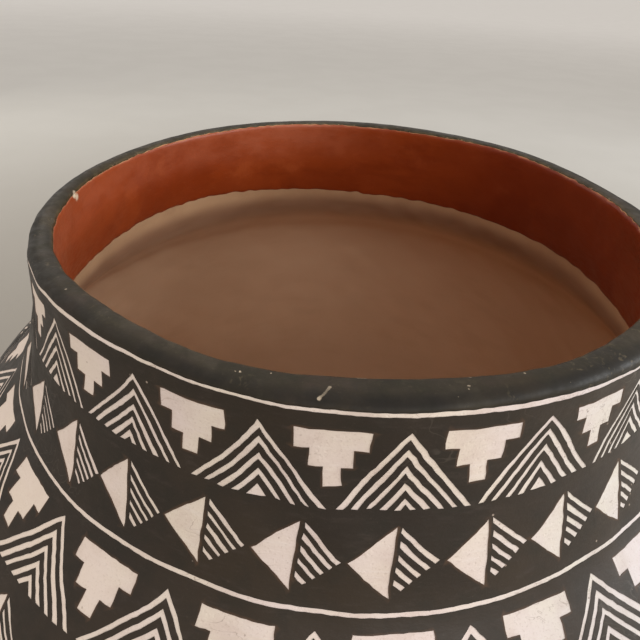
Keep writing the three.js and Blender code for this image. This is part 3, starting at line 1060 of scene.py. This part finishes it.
        n = len(th)
        outer, inner = point(th, s, PAINT[1]), point(th, s, PAINT[0])
        e = 1e-3
        du = point(th + e, s, PAINT[1]) - point(th - e, s, PAINT[1])
        dv = point(th, s + 0.2, PAINT[1]) - point(th, s - 0.2, PAINT[1])
        nor = np.cross(dv, du)
        nor /= np.linalg.norm(nor, axis=1)[:, None]
        a, b = tri[:, [0, 1, 2]].ravel(), tri[:, [1, 2, 0]].ravel()
        key, rev = a.astype(np.int64) * n + b, b.astype(np.int64) * n + a
        rim = ~np.isin(key, rev)
        ra, rb = a[rim], b[rim]
        walls = np.stack([rb, ra, ra + n, rb + n], 1)
        verts = np.concatenate([outer, inner])
        under = tri[:, ::-1] + n
        ob = new_object(self.name, verts, tri.tolist() + under.tolist() + walls.tolist(), M_PAINT)
        me = ob.data
        at = me.attributes.new("edge", "FLOAT", "POINT")
        at.data.foreach_set("value", np.concatenate([edge, edge]).astype(np.float32))
        nt, nw = len(tri), len(walls)
        hidden = np.r_[np.zeros(nt, bool), np.ones(nt + nw, bool)]
        unroll(ob, np.r_[th, th + 0.35 / self.ref], np.r_[s, s + 0.25], hidden, self.strips)
        # true normals of the jar's surface on the face, square sides at the cut edges
        wn = np.cross(verts[walls[:, 1]] - verts[walls[:, 0]], verts[walls[:, 3]] - verts[walls[:, 0]])
        wn /= np.maximum(np.linalg.norm(wn, axis=1), 1e-12)[:, None]
        loops = np.concatenate([nor[tri.ravel()], -nor[tri[:, ::-1].ravel()], np.repeat(wn, 4, 0)])
        me.normals_split_custom_set(loops.tolist())
        return finish_piece(ob, self.node)


def painted_bands():
    neck = Band("jar_neck_paint", "neck_paint_band", NECK_TOP, 57.0, 100, 2.6, 4)
    neck.row_peaks(5.6, 22.0, 22, 0.0, 2.75, 1.2)
    neck.row_diamonds(31.8, 22.0, 34, 0.25, 2.7, 1.22)
    neck.build()
    shoulder = Band("jar_shoulder_paint", "shoulder_paint_band", 58.3, 118.0, 200, 2.8, 4)
    shoulder.row_peaks(62.4, 23.6, 22, 0.5, 3.0, 1.4)
    shoulder.row_diamonds(90.6, 23.4, 34, 0.25, 3.0, 1.42)
    shoulder.build()
    belly = Band("jar_belly_paint", "belly_paint_band", 119.3, 232.0, 300, 3.5, 3)
    belly.ring(121.9, 123.2)
    belly.row_great(127.0, 97.0, 10, 0.0)
    belly.ring(227.8, 229.1)
    belly.build()
    low = Band("jar_lower_paint", "lower_paint_band", 233.3, 266.0, 400, 3.2, 5)
    low.row_peaks(237.2, 24.6, 20, 0.0)
    low.build()


clay_body()
coats()
painted_bands()

# ================================================================================
# stage, light and camera
# ================================================================================
SKY, SKY_LEVEL, GLOW = (1.0, 0.945, 0.91, 1), 0.61, 0.17


def plain(name, near, far, rough):
    """a pale matt finish with painted shade, a little deeper in tone round the jar than far
    from it, where it glows faintly, so that it runs into the sky without an edge"""
    k = Mat(name, 0.15)
    length = k.nt.nodes.new("ShaderNodeVectorMath")
    length.operation = "LENGTH"
    k.link(k.coord, length.inputs[0])
    c = k.mix(k.remap(length.outputs["Value"], 0.40, 1.6), lin(*near), lin(*far))
    c = k.mix(k.remap(k.noise(5, 2), 0.35, 0.65, 0, 0.04), c, lin(150, 146, 136))
    k.link(c, k.bsdf.inputs["Base Color"])
    k.bsdf.inputs["Emission Color"].default_value = SKY
    k.link(k.remap(length.outputs["Value"], 1.0, 7.0, 0, GLOW), k.bsdf.inputs["Emission Strength"])
    k.bsdf.inputs["Roughness"].default_value = rough
    n = k.bump(k.noise(30, 4, 0.6), 0.2, 0.004)
    k.link(n, k.bsdf.inputs["Normal"])
    return k.m


def stage():
    """one wide floor, out to the horizon"""
    radii = [0.3, 1.0, 3.0, 9.0, 30.0, 120.0]
    n = 48
    vs = [(0.0, 0.0, 0.0)] + [(r * math.cos(i / n * TAU), r * math.sin(i / n * TAU), 0.0) for r in radii for i in range(n)]
    fs = [(0, 1 + i, 1 + (i + 1) % n) for i in range(n)]
    for j in range(len(radii) - 1):
        a, b = 1 + j * n, 1 + (j + 1) * n
        fs += [(a + i, b + i, b + (i + 1) % n, a + (i + 1) % n) for i in range(n)]
    new_object("studio_floor", vs, fs, plain("studio_floor", (172, 166, 156), (222, 220, 213), 0.9))


def softbox(name, loc, target, size, energy, color=(1, 1, 1)):
    li = bpy.data.lights.new(name, "AREA")
    li.shape, li.size, li.size_y, li.energy, li.color = "RECTANGLE", size[0], size[1], energy, color
    ob = bpy.data.objects.new(name, li)
    bpy.context.scene.collection.objects.link(ob)
    ob.location = loc
    ob.rotation_euler = (Vector(target) - Vector(loc)).to_track_quat("-Z", "Y").to_euler()
    ob.visible_camera = False
    return ob


stage()
softbox("key", (1.55, -0.1, 0.85), (0, 0, 0.25), (0.9, 0.9), 15.8, (0.92, 0.96, 1.0))
softbox("front", (0.8, -1.3, 1.0), (0, 0, 0.25), (1.0, 1.0), 7.0)
softbox("top", (0.1, -0.9, 1.7), (0, 0, 0.25), (1.0, 1.0), 2.3)
softbox("back", (-0.1, 1.0, 1.7), (0, 0, 0.25), (1.0, 0.6), 2.1, (1.0, 0.95, 0.85))
softbox("rim", (-1.3, 0.9, 0.8), (0, 0, 0.15), (1.0, 1.0), 1.8, (1.0, 0.95, 0.85))

world = bpy.data.worlds.new("studio")
world.use_nodes = True
bg = world.node_tree.nodes["Background"]
bg.inputs["Color"].default_value = SKY
bg.inputs["Strength"].default_value = SKY_LEVEL
bpy.context.scene.world = world

scene = bpy.context.scene
scene.view_settings.view_transform = "Standard"
scene.view_settings.look = "None"
scene.view_settings.exposure = 0.0
scene.view_settings.gamma = 1.0


def camera():
    """From the picture's perspective of the mouth: focal length in pixels of a
    640-pixel frame, distance in mouth radii, then its four angles."""
    f, dist, elev, yaw, pitch, roll = 483.19, 1.73695, 0.368897, 0.049161, 0.257223, 0.078308
    c = np.array([0, -dist * math.cos(elev), dist * math.sin(elev)])
    fwd = -c / np.linalg.norm(c)
    right = np.array([1.0, 0, 0])
    base = np.stack([right, -np.cross(right, fwd), fwd])
    cy, sy, cp, sp, cr, sr = (math.cos(yaw), math.sin(yaw), math.cos(pitch), math.sin(pitch),
                              math.cos(roll), math.sin(roll))
    rz = np.array([[cr, -sr, 0], [sr, cr, 0], [0, 0, 1]])
    rx = np.array([[1, 0, 0], [0, cp, -sp], [0, sp, cp]])
    ry = np.array([[cy, 0, sy], [0, 1, 0], [-sy, 0, cy]])
    rot = rz @ rx @ ry @ base
    loc = c * 0.120 + np.array([0, 0, (HEIGHT - RIM_TOP) * MM])
    cam = bpy.data.cameras.new("camera")
    ob = bpy.data.objects.new("camera", cam)
    scene.collection.objects.link(ob)
    cam.sensor_width = 36.0
    cam.sensor_fit = "HORIZONTAL"
    cam.lens = f / 640 * 36.0
    cam.clip_start = 0.01
    x, y, z = rot[0], -rot[1], -rot[2]
    ob.matrix_world = Matrix(((x[0], y[0], z[0], loc[0]), (x[1], y[1], z[1], loc[1]),
                              (x[2], y[2], z[2], loc[2]), (0, 0, 0, 1)))
    scene.camera = ob


camera()
print("built in", round(time.time() - T0, 1), "s")
